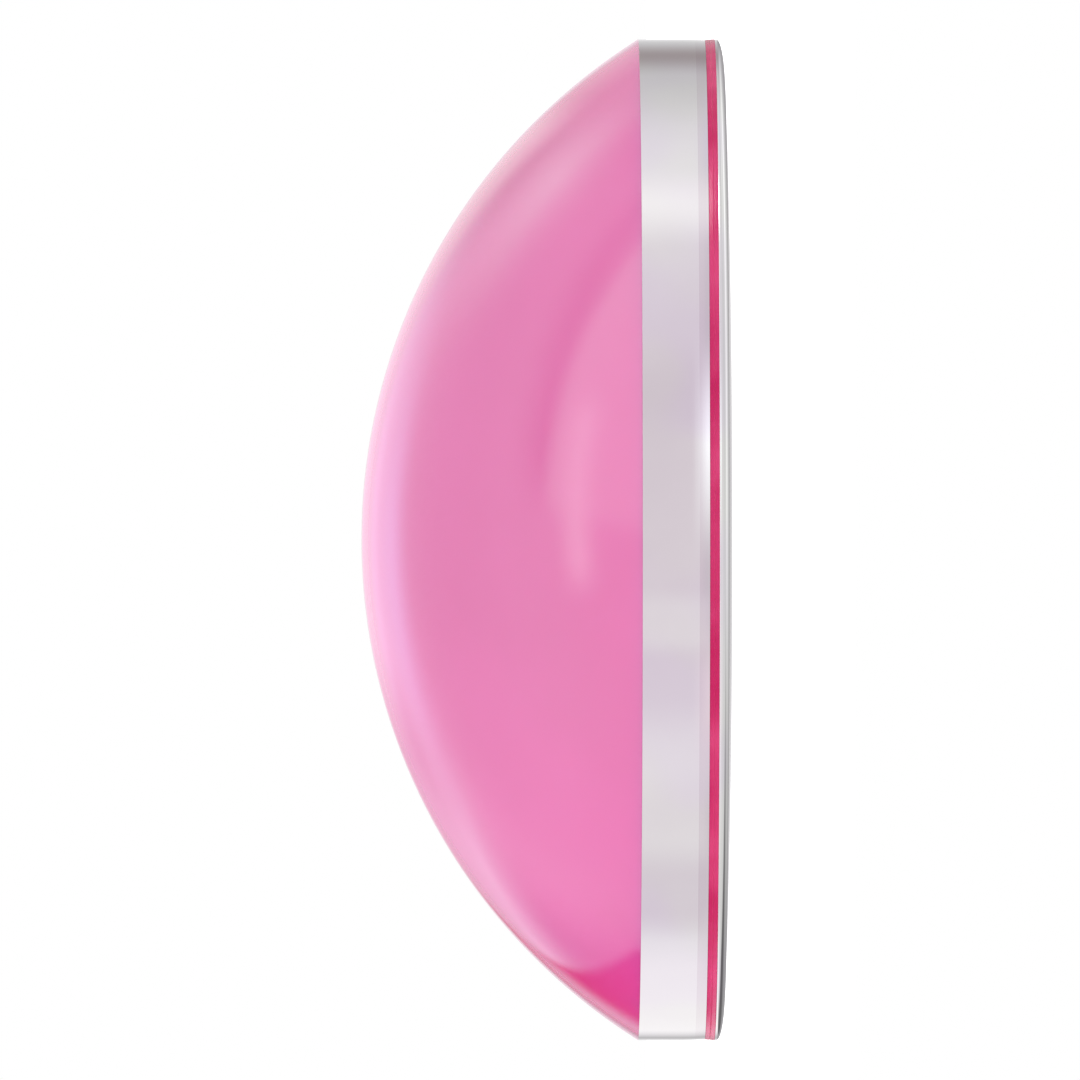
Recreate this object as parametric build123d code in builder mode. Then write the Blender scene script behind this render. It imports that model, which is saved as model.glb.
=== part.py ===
from build123d import *
import math
import os

# Silicone suction cup for massage, stored on its pull-off cover. Millimetres.
# +Z points up through the dome, and the cover's flat foot rests on Z = 0.

# Outline
cup_diameter = 70.0
dome_height = 19.35  # above the collar
collar_height = 3.94
rail_height = 0.71  # bottom flange of the clamp ring, seen below the collar
lip_height = 0.68
cover_edge_height = 0.60  # above the level where the crown meets the edge
crown_rise = 0.55  # of the cover's underside, from its flat foot to its edge

# Dome
dome_wall = 1.8
foot_thickness = 0.8
foot_bore_radius = 31.0

# Collar and clamp ring
shell_wall = 1.6
sleeve_outer_radius = 33.3
sleeve_bore_radius = 31.1
mouth_radius = 29.8
clamp_outer_radius = 30.9
hook_radius = 31.7  # lip of the clamp ring that holds the dome's foot down
hook_height = 0.6
hook_chamfer = 0.3
mouth_chamfer = 0.2
collar_edge_chamfer = 0.08

# Lip seal
lip_bore_radius = 30.0
rib_radius = 32.4  # middle of the rib that keys the lip into the clamp ring
rib_width = 0.7
rib_height = 0.32
rib_side_clearance = 0.05
groove_depth = 0.36
edge_groove_depth = 0.08
edge_groove_width = 0.16

# Cover
cover_foot_radius = 7.0
cover_sheet = 0.5
cover_edge_turn = 3.0  # width of the long rounding that turns the edge up
cover_edge_wall = 0.14  # straight part above it
cover_top_chamfer = 0.08
recess_radius = 29.7
plug_radius = 29.5
plug_height = 2.45  # above the cover's rim
plug_top = 0.9
plug_wall_radius = 27.3
plug_chamfer = 0.25
boss_radius = 3.0
rib_pairs = 3
plug_rib_width = 0.8
ring_diameter = 1.1  # O-ring section
ring_radius = 29.15
ring_groove_radius = 28.55
ring_groove_height = 1.2
ring_depth = 1.3  # of its middle, below the plug's top face
bond_gap = 0.05  # adhesive under the plug

# Levels and radii that follow
cup_radius = cup_diameter / 2
cover_top = crown_rise + cover_edge_height
lip_top = cover_top + lip_height
rail_top = lip_top + rail_height
collar_top = rail_top + collar_height
foot_top = collar_top + foot_thickness
dome_radius = (cup_radius**2 + dome_height**2) / (2 * dome_height)
dome_centre = collar_top + dome_height - dome_radius
crown_span = cup_radius - cover_foot_radius
crown_radius = (crown_span**2 + crown_rise**2) / (2 * crown_rise)
plug_level = cover_top + plug_height
ring_level = plug_level - ring_depth
plug_base = cover_sheet + bond_gap
edge_start = cup_radius - cover_edge_turn
edge_high = cover_top - cover_edge_wall


def crown_level(radius, depth):
    """Height of the cover's crown at a radius, or of the surface that is depth above it."""
    run = max(radius - cover_foot_radius, 0.0)
    return crown_radius - math.sqrt((crown_radius - depth) ** 2 - run**2)


def angle_at_level(radius, level):
    """Angle of the dome's circle of this radius at a height, in degrees from horizontal."""
    return math.degrees(math.asin((level - dome_centre) / radius))


os.makedirs("parts", exist_ok=True)

# Dome: a spherical cap of even wall on a flat foot that turns inward.
inner_radius = dome_radius - dome_wall
rim_angle = angle_at_level(dome_radius, collar_top)
foot_angle = angle_at_level(inner_radius, foot_top)
with BuildPart() as suction_dome:
    with BuildSketch(Plane.XZ):
        with BuildLine():
            outside = CenterArc((0, dome_centre), dome_radius, rim_angle, 90 - rim_angle)
            inside = CenterArc((0, dome_centre), inner_radius, foot_angle, 90 - foot_angle)
            Line(outside @ 1, inside @ 1)
            Polyline(inside @ 0, (foot_bore_radius, foot_top), (foot_bore_radius, collar_top), outside @ 0)
        make_face()
    revolve(axis=Axis.Z)
suction_dome.part.label = "suction_dome"
export_step(suction_dome.part, "parts/suction_dome.step")

# Collar: a silvered outer ring over a metal sleeve that stiffens it, both held between the dome's foot
# and the clamp's flange.
with BuildPart() as collar_shell:
    with BuildSketch(Plane.XY.offset(rail_top)):
        Circle(cup_radius)
        Circle(cup_radius - shell_wall, mode=Mode.SUBTRACT)
    extrude(amount=collar_height)
    chamfer(collar_shell.edges().filter_by(GeomType.CIRCLE).sort_by(SortBy.RADIUS)[-2:], collar_edge_chamfer)
collar_shell.part.label = "collar_shell"
export_step(collar_shell.part, "parts/collar_shell.step")

with BuildPart() as collar_sleeve:
    with BuildSketch(Plane.XY.offset(rail_top)):
        Circle(sleeve_outer_radius)
        Circle(sleeve_bore_radius, mode=Mode.SUBTRACT)
    extrude(amount=collar_height)
collar_sleeve.part.label = "collar_sleeve"
export_step(collar_sleeve.part, "parts/collar_sleeve.step")

# Clamp ring: the bore of the mouth, a flange under the collar and a hook over the dome's foot.
groove_in = rib_radius - rib_width / 2 - rib_side_clearance
groove_out = rib_radius + rib_width / 2 + rib_side_clearance
hook_top = foot_top + hook_height
with BuildPart() as clamp_ring:
    with BuildSketch(Plane.XZ):
        with BuildLine():
            Polyline(
                (mouth_radius + mouth_chamfer, lip_top),
                (groove_in, lip_top),
                (groove_in, lip_top + groove_depth),
                (groove_out, lip_top + groove_depth),
                (groove_out, lip_top),
                (cup_radius, lip_top),
                (cup_radius, rail_top),
                (clamp_outer_radius, rail_top),
                (clamp_outer_radius, foot_top),
                (hook_radius, foot_top),
                (hook_radius, hook_top - hook_chamfer),
                (hook_radius - hook_chamfer, hook_top),
                (mouth_radius, hook_top),
                (mouth_radius, lip_top + mouth_chamfer),
                close=True,
            )
        make_face()
    revolve(axis=Axis.Z)
clamp_ring.part.label = "clamp_ring"
export_step(clamp_ring.part, "parts/clamp_ring.step")

# Lip seal: a flat soft ring keyed into the clamp ring, with a fine groove round its edge.
lip_middle = cover_top + lip_height / 2
with BuildPart() as lip_seal:
    with BuildSketch(Plane.XZ):
        with BuildLine():
            Polyline(
                (lip_bore_radius, cover_top),
                (cup_radius, cover_top),
                (cup_radius, lip_middle - edge_groove_width / 2),
                (cup_radius - edge_groove_depth, lip_middle),
                (cup_radius, lip_middle + edge_groove_width / 2),
                (cup_radius, lip_top),
                (rib_radius + rib_width / 2, lip_top),
                (rib_radius + rib_width / 2, lip_top + rib_height),
                (rib_radius - rib_width / 2, lip_top + rib_height),
                (rib_radius - rib_width / 2, lip_top),
                (lip_bore_radius, lip_top),
                close=True,
            )
        make_face()
    revolve(axis=Axis.Z)
lip_seal.part.label = "lip_seal"
export_step(lip_seal.part, "parts/lip_seal.step")

# Cover disc: a crowned sheet with a flat foot, an edge turned up in a quarter ellipse and a recess for
# the plug.
recess_floor = crown_level(recess_radius, cover_sheet)
edge_low = crown_level(edge_start, 0)
edge_rise = edge_high - edge_low
with BuildPart() as cover_shell:
    with BuildSketch(Plane.XZ) as cover_section:
        with BuildLine():
            foot = Line((0, 0), (cover_foot_radius, 0))
            TangentArc(foot @ 1, (edge_start, edge_low), tangent=foot % 1)
            edge = EllipticalCenterArc((edge_start, edge_high), cover_edge_turn, edge_rise, -90, arc_size=90)
            wall = Polyline(edge @ 1, (cup_radius, cover_top), (recess_radius, cover_top))
            Line(wall @ 1, (recess_radius, recess_floor))
            floor = Line((0, cover_sheet), (cover_foot_radius, cover_sheet))
            TangentArc(floor @ 1, (recess_radius, recess_floor), tangent=floor % 1)
            Line(floor @ 0, foot @ 0)
        make_face()
        chamfer(cover_section.vertices().group_by(Axis.X)[-1].sort_by(Axis.Y)[-1], cover_top_chamfer)
    revolve(axis=Axis.Z)
cover_shell.part.label = "cover_shell"
export_step(cover_shell.part, "parts/cover_shell.step")

# Cover plug: a spigot glued into the disc, cored from below between radial ribs.
plug_floor = crown_level(plug_radius, plug_base)
groove_low = ring_level - ring_groove_height / 2
groove_high = ring_level + ring_groove_height / 2
with BuildPart() as cover_plug:
    with BuildSketch(Plane.XZ):
        with BuildLine():
            floor = Line((0, plug_base), (cover_foot_radius, plug_base))
            under = TangentArc(floor @ 1, (plug_radius, plug_floor), tangent=floor % 1)
            Polyline(
                under @ 1,
                (plug_radius, groove_low),
                (ring_groove_radius, groove_low),
                (ring_groove_radius, groove_high),
                (plug_radius, groove_high),
                (plug_radius, plug_level - plug_chamfer),
                (plug_radius - plug_chamfer, plug_level),
                (0, plug_level),
                floor @ 0,
            )
        make_face()
    revolve(axis=Axis.Z)
    with BuildSketch():
        Circle(plug_wall_radius)
        Circle(boss_radius, mode=Mode.SUBTRACT)
        with PolarLocations(0, rib_pairs, angular_range=180, endpoint=False):
            Rectangle(2 * cup_radius, plug_rib_width, mode=Mode.SUBTRACT)
    extrude(amount=plug_level - plug_top, mode=Mode.SUBTRACT)
cover_plug.part.label = "cover_plug"
export_step(cover_plug.part, "parts/cover_plug.step")

# Cover seal: an O-ring in the plug's groove, just clear of the mouth.
with BuildPart() as cover_seal:
    with BuildSketch(Plane.XZ):
        with Locations((ring_radius, ring_level)):
            Circle(ring_diameter / 2)
    revolve(axis=Axis.Z)
cover_seal.part.label = "cover_seal"
export_step(cover_seal.part, "parts/cover_seal.step")
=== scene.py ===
import math

import bmesh
import bpy
from mathutils import Matrix, Vector


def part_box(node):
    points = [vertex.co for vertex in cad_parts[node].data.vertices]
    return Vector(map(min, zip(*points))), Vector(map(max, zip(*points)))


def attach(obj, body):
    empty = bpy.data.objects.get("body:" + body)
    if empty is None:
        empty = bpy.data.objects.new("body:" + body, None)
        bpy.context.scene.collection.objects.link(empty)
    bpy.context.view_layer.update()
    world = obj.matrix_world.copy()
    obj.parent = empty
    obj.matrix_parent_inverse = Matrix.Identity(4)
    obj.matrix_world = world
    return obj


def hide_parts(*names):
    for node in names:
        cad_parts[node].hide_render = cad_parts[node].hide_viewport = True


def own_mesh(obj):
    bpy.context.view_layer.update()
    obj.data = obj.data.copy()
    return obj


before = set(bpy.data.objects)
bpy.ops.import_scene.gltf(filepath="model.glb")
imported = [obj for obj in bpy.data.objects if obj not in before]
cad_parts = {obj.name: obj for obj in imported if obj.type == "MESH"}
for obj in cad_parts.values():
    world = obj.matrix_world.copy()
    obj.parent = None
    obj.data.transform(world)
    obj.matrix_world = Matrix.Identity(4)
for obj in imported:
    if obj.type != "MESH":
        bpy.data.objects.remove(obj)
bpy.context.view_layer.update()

MM = 0.001

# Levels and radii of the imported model
CUP_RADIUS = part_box("collar_shell")[1].x
COVER_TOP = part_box("cover_shell")[1].z
LIP_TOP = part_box("clamp_ring")[0].z
RAIL_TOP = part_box("collar_shell")[0].z
COLLAR_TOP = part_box("collar_shell")[1].z
HOOK_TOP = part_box("clamp_ring")[1].z
DOME_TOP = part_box("suction_dome")[1].z
SLEEVE_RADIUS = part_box("collar_sleeve")[1].x
PLUG_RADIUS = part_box("cover_plug")[1].x
PLUG_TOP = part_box("cover_plug")[1].z
SEAL_LOW, SEAL_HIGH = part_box("cover_seal")

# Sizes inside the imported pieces
DOME_WALL = 1.8 * MM
FOOT_TOP = COLLAR_TOP + 0.8 * MM
FOOT_BORE = 31.0 * MM
SHELL_BORE = 33.4 * MM
SLEEVE_BORE = 31.1 * MM
MOUTH_RADIUS = 29.8 * MM
CLAMP_RADIUS = 30.9 * MM
HOOK_RADIUS = 31.7 * MM
LIP_BORE = 30.0 * MM
COVER_FOOT = 7.0 * MM
COVER_SHEET = 0.5 * MM
CROWN_RISE = 0.55 * MM
EDGE_TURN = 3.0 * MM
EDGE_WALL = 0.14 * MM
RECESS_RADIUS = 29.7 * MM
PLUG_WALL = 2.2 * MM
PLUG_ROOF = 0.9 * MM
PLUG_BEVEL = 0.25 * MM
PLUG_SEAT = 0.45 * MM  # the plug's wall starts this far above the cover's flat sheet
GROOVE_RADIUS = 28.55 * MM
GROOVE_HEIGHT = 1.2 * MM
HOOK_BEVEL = 0.3 * MM

# Roundings and slight curves
FINE = 0.06 * MM  # radius that breaks a moulded or turned edge
HAIRLINE = 0.02 * MM  # the same, on the finest edges
MOUTH_ROUND = 0.18 * MM
LIP_ROUND = 0.04 * MM
LIP_GROOVE_HALF = 0.05 * MM  # half the width of the fine groove round the lip
LIP_GROOVE_DEPTH = 0.03 * MM
RAIL_ROLL = 0.05 * MM  # the rail's lower edge rolls in by this much
ROLL_RISE = 1.0 * MM  # the roll starts this far above the rail
LIP_LEAN = 0.06 * MM  # the lip's edge curves in by this much
SUPPORT = 0.01 * MM  # a ring this far outside each rounding keeps the faces beside it flat

# Fineness of the meshes
ROUND_STEPS = 288  # faces round each turned piece
CREASE = math.radians(30)  # edges that turn more than this stay sharp
ON_AXIS = 1e-7  # a point nearer the axis than this is a pole
CORNER_STEPS = 5
SKIN_STEPS = 72  # faces along the dome's outside
HOLLOW_STEPS = 60
SHELL_ROLL_STEPS = 4
RAIL_ROLL_STEPS = 6
LIP_STEPS = 4
CROWN_STEPS = 40
EDGE_STEPS = 16
RECESS_STEPS = 30
RING_STEPS = 24


# ---------------------------------------------------------------- turned meshes

def arc(centre, radius, start, end, steps):
    """Points of a circle in the half section, from angle start to end in degrees."""
    angles = [math.radians(start + (end - start) * k / steps) for k in range(steps + 1)]
    return [(centre[0] + radius * math.cos(a), centre[1] + radius * math.sin(a)) for a in angles]


def rounded(corners):
    """A closed outline of (radius, height, rounding) corners, with each rounding as a short arc."""
    outline = []
    count = len(corners)
    for k, (x, z, rounding) in enumerate(corners):
        here = Vector((x, z))
        if not rounding:
            outline.append(here)
            continue
        before = (Vector(corners[k - 1][:2]) - here).normalized()
        after = (Vector(corners[(k + 1) % count][:2]) - here).normalized()
        half = before.angle(after) / 2
        reach = rounding / math.tan(half)
        middle = here + (before + after).normalized() * (rounding / math.sin(half))
        first, last = here + before * reach - middle, here + after * reach - middle
        turn = first.angle_signed(last)
        outline.append(middle + first + before * SUPPORT)
        for step in range(CORNER_STEPS + 1):
            outline.append(middle + Matrix.Rotation(-turn * step / CORNER_STEPS, 2) @ first)
        outline.append(middle + last + after * SUPPORT)
    return [tuple(p) for p in outline]


def turned(name, outline):
    """A closed solid of revolution about Z from its half section, an outline of (radius, height)."""
    mesh = bmesh.new()
    rings = []
    for radius, height in outline:
        if radius < ON_AXIS:
            rings.append([mesh.verts.new((0, 0, height))] * ROUND_STEPS)
            continue
        turn = [2 * math.pi * k / ROUND_STEPS for k in range(ROUND_STEPS)]
        rings.append([mesh.verts.new((radius * math.cos(a), radius * math.sin(a), height)) for a in turn])
    for ring, following in zip(rings, rings[1:] + rings[:1]):
        for k in range(ROUND_STEPS):
            after = (k + 1) % ROUND_STEPS
            corners = dict.fromkeys((ring[k], ring[after], following[after], following[k]))
            if len(corners) > 2:
                mesh.faces.new(list(corners))
    bmesh.ops.recalc_face_normals(mesh, faces=mesh.faces)
    data = bpy.data.meshes.new(name)
    mesh.to_mesh(data)
    mesh.free()
    data.polygons.foreach_set("use_smooth", [True] * len(data.polygons))
    data.set_sharp_from_angle(angle=CREASE)
    piece = bpy.data.objects.new(name, data)
    bpy.context.scene.collection.objects.link(piece)
    return piece


def rolled(height):
    """The band's radius at a height, where it rolls in slightly towards the lip."""
    span = RAIL_TOP + ROLL_RISE - LIP_TOP
    return CUP_RADIUS - RAIL_ROLL * ((RAIL_TOP + ROLL_RISE - height) / span) ** 2


def leaning(height):
    """The lip's radius at a height, where its edge curves in slightly towards the rail."""
    return CUP_RADIUS - LIP_LEAN * ((height - COVER_TOP) / (LIP_TOP - COVER_TOP)) ** 2


def fit(piece, body, node, material):
    """Puts a finished piece in place of its CAD node, on that node's body."""
    piece.data.materials.append(material)
    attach(piece, body)
    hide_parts(node)
    return piece


# ---------------------------------------------------------------- node helpers

class Nodes:
    """Short calls for building one node tree."""

    def __init__(self, tree):
        self.tree = tree
        tree.nodes.clear()

    def new(self, kind, **settings):
        node = self.tree.nodes.new(kind)
        for key, value in settings.items():
            setattr(node, key, value)
        return node

    def link(self, source, target):
        self.tree.links.new(source, target)

    def put(self, socket, value):
        """Links a socket or sets a plain value."""
        if isinstance(value, bpy.types.NodeSocket):
            self.link(value, socket)
        else:
            socket.default_value = value

    def maths(self, operation, a, b=0.0, c=0.0):
        node = self.new("ShaderNodeMath", operation=operation)
        for socket, value in zip(node.inputs, (a, b, c)):
            self.put(socket, value)
        return node.outputs[0]

    def vector(self, operation, a, b=(0, 0, 0)):
        node = self.new("ShaderNodeVectorMath", operation=operation)
        self.put(node.inputs[0], a)
        self.put(node.inputs[1], b)
        return node.outputs["Value" if operation in ("DOT_PRODUCT", "LENGTH") else "Vector"]

    def ramp(self, value, low, high, to_low=0.0, to_high=1.0):
        """A smooth step from to_low to to_high while value goes from low to high."""
        node = self.new("ShaderNodeMapRange", interpolation_type="SMOOTHSTEP")
        for socket, v in zip(node.inputs, (value, low, high, to_low, to_high)):
            self.put(socket, v)
        return node.outputs[0]

    def noise(self, vector, scale, detail=2.0, roughness=0.5):
        node = self.new("ShaderNodeTexNoise")
        self.link(vector, node.inputs["Vector"])
        node.inputs["Scale"].default_value = scale
        node.inputs["Detail"].default_value = detail
        node.inputs["Roughness"].default_value = roughness
        return node.outputs["Fac"]

    def mix(self, factor, a, b, blend="MIX"):
        node = self.new("ShaderNodeMix", data_type="RGBA", blend_type=blend)
        self.put(node.inputs["Factor"], factor)
        self.put(node.inputs[6], a)
        self.put(node.inputs[7], b)
        return node.outputs[2]

    def bump(self, height, distance, strength):
        node = self.new("ShaderNodeBump")
        node.inputs["Strength"].default_value = strength
        node.inputs["Distance"].default_value = distance
        self.link(height, node.inputs["Height"])
        return node.outputs[0]


def shade(name, **sockets):
    """A material with one Principled shader, and its node helper. Sockets are set by name."""
    material = bpy.data.materials.new(name)
    material.use_nodes = True
    nodes = Nodes(material.node_tree)
    output = nodes.new("ShaderNodeOutputMaterial")
    shader = nodes.new("ShaderNodeBsdfPrincipled")
    nodes.link(shader.outputs[0], output.inputs[0])
    for key, value in sockets.items():
        shader.inputs[key.replace("_", " ")].default_value = value
    return material, nodes, shader


def place(nodes):
    """The point on the object, in metres, and the same point as (radius, 0, height) for turned detail."""
    point = nodes.new("ShaderNodeTexCoord").outputs["Object"]
    apart = nodes.new("ShaderNodeSeparateXYZ")
    nodes.link(point, apart.inputs[0])
    radius = nodes.vector("LENGTH", nodes.vector("MULTIPLY", point, (1, 1, 0)))
    turned_point = nodes.new("ShaderNodeCombineXYZ")
    nodes.link(radius, turned_point.inputs[0])
    nodes.link(apart.outputs[2], turned_point.inputs[2])
    return point, turned_point.outputs[0]


# ---------------------------------------------------------------- materials

def silicone(name, colour, deep, clouding, roughness, scatter, **sockets):
    """Tinted silicone: a fine-grained skin over a faintly clouded body that scatters light."""
    material, nodes, shader = shade(
        name,
        Subsurface_Weight=scatter,
        Subsurface_Radius=(1.0, 0.35, 0.6),
        Subsurface_Scale=2.5 * MM,
        **sockets,
    )
    point, _ = place(nodes)
    cloud = nodes.noise(point, clouding, 3)
    nodes.link(nodes.mix(nodes.ramp(cloud, 0.3, 0.7), deep, colour), shader.inputs["Base Color"])
    grain = nodes.noise(point, 900, 2)
    nodes.link(nodes.ramp(grain, 0.2, 0.8, roughness * 0.85, roughness * 1.15), shader.inputs["Roughness"])
    nodes.link(nodes.bump(grain, 0.004 * MM, 0.4), shader.inputs["Normal"])
    return material


# Faint colours of the thin film on plated metal
LILAC_FILM = (1.0, 0.975, 1.015, 1)
GREEN_FILM = (1.01, 1.02, 0.99, 1)


def turned_metal(name, colour, worn, roughness, line_scale, depth, coat=0.0):
    """Metal with fine lines left round it by the lathe, under clear lacquer where coat is 1."""
    material, nodes, shader = shade(name, Metallic=1.0, Coat_Weight=coat, Coat_Roughness=0.03)
    point, turned_point = place(nodes)
    lines = nodes.noise(turned_point, line_scale, 4, 0.7)
    cloud = nodes.noise(point, 80, 4)
    tone = nodes.mix(nodes.ramp(cloud, 0.35, 0.75), colour, worn)
    film = nodes.mix(nodes.ramp(nodes.noise(point, 110, 1), 0.40, 0.60), LILAC_FILM, GREEN_FILM)
    nodes.link(nodes.mix(1.0, tone, film, "MULTIPLY"), shader.inputs["Base Color"])
    nodes.link(nodes.ramp(lines, 0.25, 0.8, roughness * 0.7, roughness * 1.4), shader.inputs["Roughness"])
    nodes.link(nodes.bump(lines, depth, 0.5), shader.inputs["Normal"])
    return material


def moulded_plastic(name, colour, shadow, roughness):
    """Plain satin moulding."""
    material, nodes, shader = shade(name, Subsurface_Weight=0.15, Subsurface_Scale=1.0 * MM)
    point, _ = place(nodes)
    nodes.link(nodes.mix(nodes.noise(point, 90, 3), shadow, colour), shader.inputs["Base Color"])
    grain = nodes.noise(point, 2500, 2)
    nodes.link(nodes.ramp(grain, 0.2, 0.8, roughness * 0.8, roughness * 1.2), shader.inputs["Roughness"])
    nodes.link(nodes.bump(grain, 0.006 * MM, 0.4), shader.inputs["Normal"])
    return material


pink = silicone(
    "dome_silicone",
    (0.70, 0.075, 0.35, 1),
    (0.66, 0.065, 0.32, 1),
    60,
    0.12,
    0.35,
    IOR=1.5,
    Coat_Weight=1.0,
    Coat_Roughness=0.05,
    Coat_IOR=1.5,
    Sheen_Weight=0.2,
    Sheen_Roughness=0.35,
    Sheen_Tint=(0.95, 0.1, 0.45, 1),
)
magenta = silicone(
    "lip_silicone", (0.62, 0.048, 0.165, 1), (0.47, 0.006, 0.085, 1), 130, 0.22, 0.2, IOR=1.27
)
lacquered = turned_metal(
    "lacquered_collar", (0.82, 0.80, 0.82, 1), (0.78, 0.75, 0.78, 1), 0.05, 6000, 0.0005 * MM, coat=1.0
)
silver = turned_metal(
    "silver_sleeve", (0.80, 0.765, 0.80, 1), (0.74, 0.71, 0.745, 1), 0.16, 9000, 0.002 * MM
)
pearl = turned_metal(
    "pearl_rail", (0.74, 0.69, 0.73, 1), (0.70, 0.64, 0.69, 1), 0.06, 6000, 0.0005 * MM, coat=1.0
)
polished = turned_metal(
    "polished_cover", (0.90, 0.89, 0.90, 1), (0.83, 0.82, 0.83, 1), 0.06, 5000, 0.001 * MM
)
white_plastic = moulded_plastic("plug_plastic", (0.80, 0.78, 0.80, 1), (0.74, 0.72, 0.74, 1), 0.4)


# ---------------------------------------------------------------- pieces

def make_dome():
    """The hollow cap on its flat foot."""
    height = DOME_TOP - COLLAR_TOP
    outside = (CUP_RADIUS**2 + height**2) / (2 * height)
    centre = (0, DOME_TOP - outside)
    inside = outside - DOME_WALL
    rim = math.degrees(math.asin((COLLAR_TOP - centre[1]) / outside))
    foot = math.degrees(math.asin((FOOT_TOP - centre[1]) / inside))
    skin = arc(centre, outside, 90, rim, SKIN_STEPS)
    hollow = arc(centre, inside, foot, 90, HOLLOW_STEPS)
    foot_corners = [(FOOT_BORE, COLLAR_TOP, FINE), (FOOT_BORE, FOOT_TOP, FINE)]
    corners = [(*p, 0) for p in skin] + foot_corners + [(*p, 0) for p in hollow]
    piece = fit(turned("dome", rounded(corners)), "cup", "suction_dome", pink)
    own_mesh(piece)


def make_collar():
    """The silvered outer ring and the metal sleeve that stiffens it."""
    roll = [RAIL_TOP + ROLL_RISE * k / SHELL_ROLL_STEPS for k in range(SHELL_ROLL_STEPS + 1)]
    shell = [
        (SHELL_BORE, RAIL_TOP, FINE),
        *[(rolled(height), height, 0) for height in roll],
        (CUP_RADIUS, COLLAR_TOP, 0),
        (SHELL_BORE, COLLAR_TOP, FINE),
    ]
    fit(turned("collar_outer_ring", rounded(shell)), "cup", "collar_shell", lacquered)
    sleeve = [
        (SLEEVE_BORE, RAIL_TOP, FINE),
        (SLEEVE_RADIUS, RAIL_TOP, FINE),
        (SLEEVE_RADIUS, COLLAR_TOP, FINE),
        (SLEEVE_BORE, COLLAR_TOP, FINE),
    ]
    fit(turned("collar_silver_sleeve", rounded(sleeve)), "cup", "collar_sleeve", silver)


def make_clamp():
    """The mouth's ring: rail flange below, hook over the dome's foot above."""
    rail = [LIP_TOP + (RAIL_TOP - LIP_TOP) * k / RAIL_ROLL_STEPS for k in range(RAIL_ROLL_STEPS)]
    section = [
        (MOUTH_RADIUS, LIP_TOP, MOUTH_ROUND),
        *[(rolled(height), height, 0) for height in rail],
        (rolled(RAIL_TOP), RAIL_TOP, 0),
        (CLAMP_RADIUS, RAIL_TOP, 0),
        (CLAMP_RADIUS, FOOT_TOP, 0),
        (HOOK_RADIUS, FOOT_TOP, FINE),
        (HOOK_RADIUS, HOOK_TOP - HOOK_BEVEL, FINE),
        (HOOK_RADIUS - HOOK_BEVEL, HOOK_TOP, FINE),
        (MOUTH_RADIUS, HOOK_TOP, FINE),
    ]
    fit(turned("mouth_clamp_ring", rounded(section)), "cup", "clamp_ring", pearl)


def make_lip():
    """The soft ring that meets the skin, with a fine groove round its edge."""
    middle = (COVER_TOP + LIP_TOP) / 2
    low, high = middle - LIP_GROOVE_HALF, middle + LIP_GROOVE_HALF
    lower = [COVER_TOP + (low - COVER_TOP) * (k + 1) / (LIP_STEPS + 1) for k in range(LIP_STEPS)]
    upper = [high + (LIP_TOP - high) * (k + 1) / (LIP_STEPS + 1) for k in range(LIP_STEPS)]
    section = [
        (LIP_BORE, COVER_TOP, FINE),
        (CUP_RADIUS, COVER_TOP, LIP_ROUND),
        *[(leaning(height), height, 0) for height in lower],
        (leaning(low), low, HAIRLINE),
        (leaning(middle) - LIP_GROOVE_DEPTH, middle, HAIRLINE),
        (leaning(high), high, HAIRLINE),
        *[(leaning(height), height, 0) for height in upper],
        (leaning(LIP_TOP), LIP_TOP, LIP_ROUND),
        (LIP_BORE, LIP_TOP, FINE),
    ]
    fit(turned("lip_seal_ring", rounded(section)), "cup", "lip_seal", magenta)


def make_cover():
    """The crowned disc with its flat foot, its edge turned up in a long rounding, and its recess."""
    crown = ((CUP_RADIUS - COVER_FOOT) ** 2 + CROWN_RISE**2) / (2 * CROWN_RISE)
    turn_start = math.degrees(math.asin((CUP_RADIUS - EDGE_TURN - COVER_FOOT) / crown))
    under = arc((COVER_FOOT, crown), crown, -90, turn_start - 90, CROWN_STEPS)
    edge_low = under[-1][1]
    edge_high = COVER_TOP - EDGE_WALL
    turn = [math.radians(90 * k / EDGE_STEPS) for k in range(1, EDGE_STEPS + 1)]
    edge = [
        (CUP_RADIUS - EDGE_TURN * (1 - math.sin(a)), edge_low + (edge_high - edge_low) * (1 - math.cos(a)))
        for a in turn
    ]
    recess = math.degrees(math.asin((RECESS_RADIUS - COVER_FOOT) / (crown - COVER_SHEET)))
    floor = arc((COVER_FOOT, crown), crown - COVER_SHEET, recess - 90, -90, RECESS_STEPS)
    corners = [
        (0, 0, 0),
        *[(*p, 0) for p in under + edge],
        (CUP_RADIUS, COVER_TOP, HAIRLINE),
        (RECESS_RADIUS, COVER_TOP, FINE),
        *[(*p, 0) for p in floor],
        (0, COVER_SHEET, 0),
    ]
    fit(turned("cover_disc", rounded(corners)), "cover", "cover_shell", polished)


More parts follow.
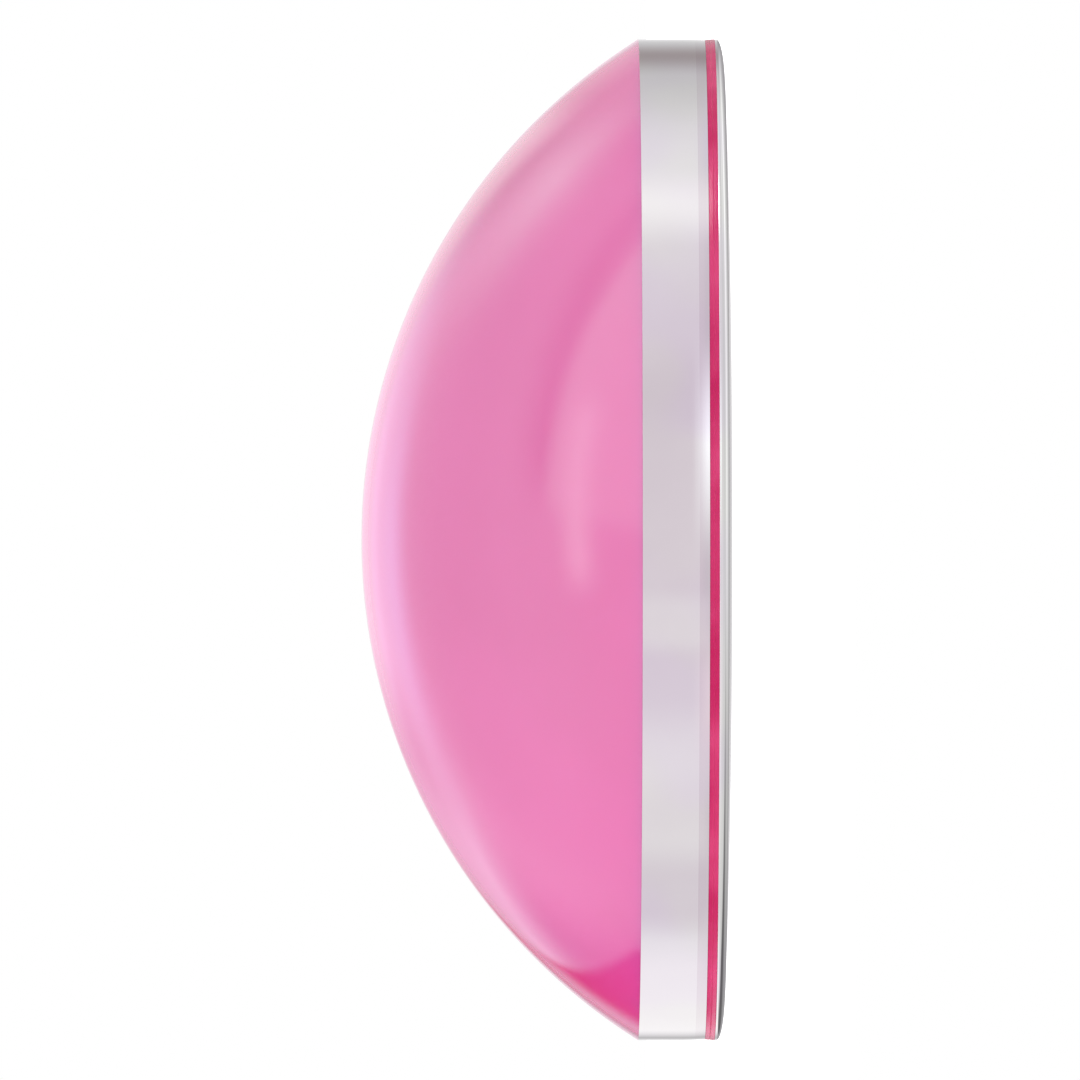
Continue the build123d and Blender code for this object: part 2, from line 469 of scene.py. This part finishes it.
def make_plug():
    """The hollow spigot with its O-ring groove, and the O-ring. Its ribs, out of sight, are left out."""
    middle = (SEAL_LOW.z + SEAL_HIGH.z) / 2
    low, high = middle - GROOVE_HEIGHT / 2, middle + GROOVE_HEIGHT / 2
    base = COVER_SHEET + PLUG_SEAT
    section = [
        (PLUG_RADIUS - PLUG_WALL, base, 0),
        (PLUG_RADIUS, base, FINE),
        (PLUG_RADIUS, low, FINE),
        (GROOVE_RADIUS, low, FINE),
        (GROOVE_RADIUS, high, FINE),
        (PLUG_RADIUS, high, FINE),
        (PLUG_RADIUS, PLUG_TOP - PLUG_BEVEL, FINE),
        (PLUG_RADIUS - PLUG_BEVEL, PLUG_TOP, FINE),
        (0, PLUG_TOP, 0),
        (0, PLUG_TOP - PLUG_ROOF, 0),
        (PLUG_RADIUS - PLUG_WALL, PLUG_TOP - PLUG_ROOF, 0),
    ]
    fit(turned("cover_plug_spigot", rounded(section)), "cover", "cover_plug", white_plastic)
    thickness = (SEAL_HIGH.z - SEAL_LOW.z) / 2
    ring = arc((SEAL_HIGH.x - thickness, middle), thickness, 0, 360, RING_STEPS)[:-1]
    fit(turned("cover_o_ring", ring), "cover", "cover_seal", magenta)


make_dome()
make_collar()
make_clamp()
make_lip()
make_cover()
make_plug()


# ---------------------------------------------------------------- studio

FLOOR_RADIUS = 0.6
FLOOR_DROP = 0.02 * MM  # keeps the floor clear of the cover's foot


def make_floor():
    """A plain pale floor, lit from within so that it stays white."""
    bpy.ops.mesh.primitive_circle_add(vertices=128, radius=FLOOR_RADIUS, fill_type="NGON")
    floor = bpy.context.object
    floor.name = "floor"
    material, nodes, shader = shade("floor_white", Roughness=0.9)
    shader.inputs["Specular IOR Level"].default_value = 0.0
    point, _ = place(nodes)
    paper = nodes.mix(nodes.noise(point, 40, 2), (0.80, 0.80, 0.80, 1), (0.82, 0.82, 0.82, 1))
    nodes.link(paper, shader.inputs["Base Color"])
    shader.inputs["Emission Color"].default_value = (1, 1, 1, 1)
    shader.inputs["Emission Strength"].default_value = 1.0
    floor.data.materials.append(material)
    floor.visible_glossy = False
    floor.location.z = -FLOOR_DROP


# Soft boxes and dark flags round the object. Each is (centre, long axis, half length with its soft
# edge, half width with its soft edge, brightness as RGB), with the sizes as tangents seen from the object.
OVERHEAD_PANELS = {
    "high_patch": ((0.53, 0.63, 0.57), (0.7, 0.0, -0.6), (0.10, 0.24), (0.10, 0.24), (1.55, 2.05, 1.85)),
    "rear_glow": ((-0.04, 0.80, 0.60), (1.0, 0.0, 0.0), (0.17, 0.16), (0.09, 0.10), (1.4, 1.2, 1.6)),
    "low_patch": ((-0.30, 0.84, 0.44), (0.1, 0.4, -0.8), (0.20, 0.20), (0.02, 0.16), (1.35, 1.3, 1.45)),
    "dark_bar": ((0.56, 0.13, 0.80), (0.85, 0.30, -0.6), (0.55, 0.14), (0.05, 0.14), (1.08, 1.08, 1.04)),
    "key_box": ((0.55, -0.45, 0.75), (0.988, 0.156, -0.6), (0.60, 0.06), (0.52, 0.07), (1.9, 2.4, 2.2)),
    "key_stripe": ((0.12, -0.17, 0.975), (1.0, 0.12, 0.0), (0.24, 0.07), (0.05, 0.07), (2.6, 3.2, 3.0)),
    "low_flag": ((-0.58, 0.72, 0.30), (-0.58, -0.714, 0.39), (0.75, 0.01), (0.13, 0.01), (0.58, 0.02, 0.05)),
    "low_rim": ((-0.30, 0.94, 0.17), (1.0, 0.3, 0.0), (0.20, 0.20), (0.06, 0.06), (0.72, 0.50, 0.55)),
}
GROUND_PANELS = {
    "ground_light": ((0.16, 0.86, -0.47), (1.0, 0.0, 0.0), (0.18, 0.18), (0.10, 0.16), (1.15, 1.15, 1.15)),
    "ground_right": ((0.55, 0.55, -0.63), (1.0, -0.8, 0.0), (0.20, 0.18), (0.20, 0.16), (0.94, 0.94, 0.94)),
}
# Panels on the walls at the object's own height, each (degrees from the front towards +X, half width
# and soft edge in degrees, brightness as RGB)
WALL_LIGHTS = (
    (33, 8, 8, (0.77, 0.70, 0.76)),
    (84, 7, 7, (1.06, 1.04, 1.06)),
    (-19, 6, 3, (0.87, 0.82, 0.86)),
    (-52, 9, 8, (0.91, 0.88, 0.90)),
    (-90, 12, 7, (0.79, 0.73, 0.79)),
    (-137, 29, 12, (1.03, 1.01, 1.02)),
    (150, 8, 8, (0.38, 0.345, 0.34)),
    (-168, 3, 10, (0.34, 0.33, 0.34)),
)
# The same, lower down, for the rail below the collar
LOW_LIGHTS = (
    (112, 18, 8, (0.75, 0.76, 0.91)),
    (-111, 15, 8, (0.90, 0.87, 0.92)),
    (-38, 12, 10, (1.02, 0.90, 0.95)),
    (22, 13, 19, (1.5, 1.6, 1.6)),
)
# And above those, for the lip's curved edge
LIP_LIGHT = (85, 6, 7, (14.5, 14.5, 14.5))
LIP_SHADE = (-130, 18, 4, (0.25, 0.10, 0.15))
# A dark strip low behind the object
BACK_LOW = ((0.0, 1.0, -0.10), (1.0, 0.0, 0.0), (0.30, 0.20), (0.05, 0.03), (0.36, 0.35, 0.36))


def standing_panel(light, height, half_height):
    """A panel facing the object at an angle round it, its middle at a height given as a tangent."""
    angle, half, soft, colour = light
    turn = math.radians(angle)
    middle = (math.sin(turn), -math.cos(turn), height)
    along = (math.cos(turn), math.sin(turn), 0.0)
    return middle, along, (math.radians(half), math.radians(soft)), half_height, colour


WALL_PANELS = [
    *[standing_panel(light, 0.0, (0.13, 0.03)) for light in WALL_LIGHTS],
    *[standing_panel(light, -0.13, (0.04, 0.05)) for light in LOW_LIGHTS],
    standing_panel(LIP_LIGHT, 0.22, (0.13, 0.06)),
    standing_panel(LIP_SHADE, 0.21, (0.15, 0.02)),
    BACK_LOW,
]


def panel_mask(nodes, ray, centre, axis, length, width):
    """1 inside a flat panel seen from the object along ray, 0 outside, with soft edges."""
    middle = Vector(centre).normalized()
    along = (Vector(axis) - middle * Vector(axis).dot(middle)).normalized()
    across = middle.cross(along)
    depth = nodes.maths("MAXIMUM", nodes.vector("DOT_PRODUCT", ray, middle), 0.001)
    mask = None
    for direction, (half, soft) in ((along, length), (across, width)):
        off = nodes.maths("DIVIDE", nodes.vector("DOT_PRODUCT", ray, direction), depth)
        side = nodes.ramp(nodes.maths("ABSOLUTE", off), half - soft, half + soft, 1.0, 0.0)
        mask = side if mask is None else nodes.maths("MULTIPLY", mask, side)
    return mask


def add_panels(nodes, light, ray, panels):
    """The studio's light with each panel laid over it in turn."""
    for centre, axis, length, width, colour in panels:
        light = nodes.mix(panel_mask(nodes, ray, centre, axis, length, width), light, (*colour, 1))
    return light


def overhead_light(nodes, ray, x, y, z):
    """A wide soft light overhead, falling off behind the object, towards -X and low in front."""
    light = nodes.mix(nodes.ramp(y, 0.75, -0.15), (1.2, 0.88, 1.03, 1), (1.6, 1.9, 1.8, 1))
    light = nodes.mix(nodes.ramp(x, -0.35, -1.0), light, (0.95, 1.1, 1.05, 1))

    # Low behind, it is pink in the middle and duller to both sides
    slant = nodes.maths("DIVIDE", x, nodes.maths("MAXIMUM", z, 0.05))
    rear = nodes.mix(nodes.ramp(z, 0.30, 0.42), (1.17, 0.90, 1.05, 1), (1.35, 1.02, 1.32, 1))
    edge = nodes.mix(nodes.ramp(z, 0.30, 0.42), (0.95, 0.84, 0.84, 1), (0.76, 0.64, 0.66, 1))
    low_edge = nodes.mix(nodes.ramp(z, 0.22, 0.34), (0.84, 0.62, 0.72, 1), (0.70, 0.42, 0.55, 1))
    rear = nodes.mix(nodes.ramp(slant, 0.1, 0.9), rear, edge)
    rear = nodes.mix(nodes.ramp(slant, -0.15, -0.45), rear, (0.92, 0.60, 0.76, 1))
    rear = nodes.mix(nodes.ramp(slant, 1.0, 1.3), rear, (0.80, 0.60, 0.64, 1))
    rear = nodes.mix(nodes.ramp(slant, -0.6, -1.0), rear, low_edge)
    light = nodes.mix(nodes.ramp(z, 0.66, 0.40), light, rear)

    light = add_panels(nodes, light, ray, OVERHEAD_PANELS.values())
    low_sky = nodes.maths("MULTIPLY", nodes.ramp(z, 0.42, 0.24), nodes.ramp(y, 0.50, 0.25))
    return nodes.mix(low_sky, light, (0.66, 0.64, 0.66, 1))


def ground_light(nodes, ray, x, y, z):
    """What lies below: pale in front, darker behind it towards the horizon and towards -X."""
    ground = nodes.mix(nodes.ramp(y, -0.6, 0.2), (0.78, 0.76, 0.78, 1), (0.70, 0.70, 0.70, 1))
    ground = add_panels(nodes, ground, ray, GROUND_PANELS.values())
    behind = nodes.ramp(y, 0.4, 0.8)
    distant = nodes.maths("MULTIPLY", behind, nodes.ramp(z, -0.38, -0.10))
    ground = nodes.mix(distant, ground, (0.38, 0.37, 0.38, 1))
    aside = nodes.maths("MULTIPLY", nodes.ramp(x, 0.02, -0.14), nodes.ramp(x, -0.75, -0.35))
    lower = nodes.maths("MULTIPLY", nodes.ramp(z, -0.78, -0.50), aside)
    return nodes.mix(nodes.maths("MULTIPLY", behind, lower), ground, (0.13, 0.125, 0.13, 1))


def wall_light(nodes, x, y):
    """The walls at the object's own height, duller behind it towards +X."""
    wall = nodes.mix(nodes.ramp(y, -1.0, 0.3), (0.81, 0.74, 0.80, 1), (0.93, 0.92, 0.93, 1))
    dusk = nodes.maths("MULTIPLY", nodes.ramp(y, 0.1, 0.85), nodes.ramp(x, 0.0, 0.3))
    return nodes.mix(dusk, wall, (0.60, 0.60, 0.60, 1))


# The even fill's strength, and how it changes towards +X and upwards
FILL, FILL_ACROSS, FILL_UP = 0.88, -0.27, 0.12


def make_world():
    """White to the camera, an even fill in plain light, and soft boxes in reflections."""
    world = bpy.data.worlds.new("studio")
    bpy.context.scene.world = world
    world.use_nodes = True
    nodes = Nodes(world.node_tree)
    output = nodes.new("ShaderNodeOutputWorld")
    ray = nodes.new("ShaderNodeTexCoord").outputs["Generated"]
    apart = nodes.new("ShaderNodeSeparateXYZ")
    nodes.link(ray, apart.inputs[0])
    x, y, z = apart.outputs

    light = overhead_light(nodes, ray, x, y, z)
    light = nodes.mix(nodes.ramp(z, -0.08, -0.14), light, ground_light(nodes, ray, x, y, z))
    beside = nodes.ramp(nodes.maths("ABSOLUTE", z), 0.14, 0.08)
    light = nodes.mix(beside, light, wall_light(nodes, x, y))
    light = add_panels(nodes, light, ray, WALL_PANELS)

    mirrored = nodes.new("ShaderNodeBackground")
    nodes.link(light, mirrored.inputs["Color"])
    fill = nodes.new("ShaderNodeBackground")
    upward = nodes.maths("MULTIPLY_ADD", z, FILL_UP, FILL)
    nodes.link(nodes.maths("MULTIPLY_ADD", x, FILL_ACROSS, upward), fill.inputs["Strength"])
    fill.inputs["Color"].default_value = (1, 1, 1, 1)
    white = nodes.new("ShaderNodeBackground")
    white.inputs["Color"].default_value = (1, 1, 1, 1)
    path = nodes.new("ShaderNodeLightPath")
    seen = fill
    for flag, shader in zip(("Is Glossy Ray", "Is Camera Ray"), (mirrored, white)):
        either = nodes.new("ShaderNodeMixShader")
        nodes.link(path.outputs[flag], either.inputs[0])
        nodes.link(seen.outputs[0], either.inputs[1])
        nodes.link(shader.outputs[0], either.inputs[2])
        seen = either
    nodes.link(seen.outputs[0], output.inputs[0])


# Camera, with its height and the frame's width in cup diameters
ELEVATION = math.radians(0.43)
AIM_HEIGHT = 0.1905
FRAME_WIDTH = 1.079
LENS, SENSOR = 1500.0, 36.0


def make_camera():
    """A long lens almost level with the cup, turned so that the dome points left."""
    distance = 2 * CUP_RADIUS * FRAME_WIDTH * LENS / SENSOR
    aim = Vector((0, 0, 2 * CUP_RADIUS * AIM_HEIGHT))
    back = Vector((0, -math.cos(ELEVATION), math.sin(ELEVATION)))
    right = Vector((0, -math.sin(ELEVATION), -math.cos(ELEVATION)))
    up = back.cross(right)
    data = bpy.data.cameras.new("camera")
    data.lens, data.sensor_width = LENS, SENSOR
    data.clip_start, data.clip_end = 0.1, 20
    camera = bpy.data.objects.new("camera", data)
    bpy.context.scene.collection.objects.link(camera)
    turn = Matrix((right, up, back)).transposed().to_4x4()
    camera.matrix_world = Matrix.Translation(aim + back * distance) @ turn
    bpy.context.scene.camera = camera


make_floor()
make_world()
make_camera()
bpy.context.scene.view_settings.view_transform = "Standard"
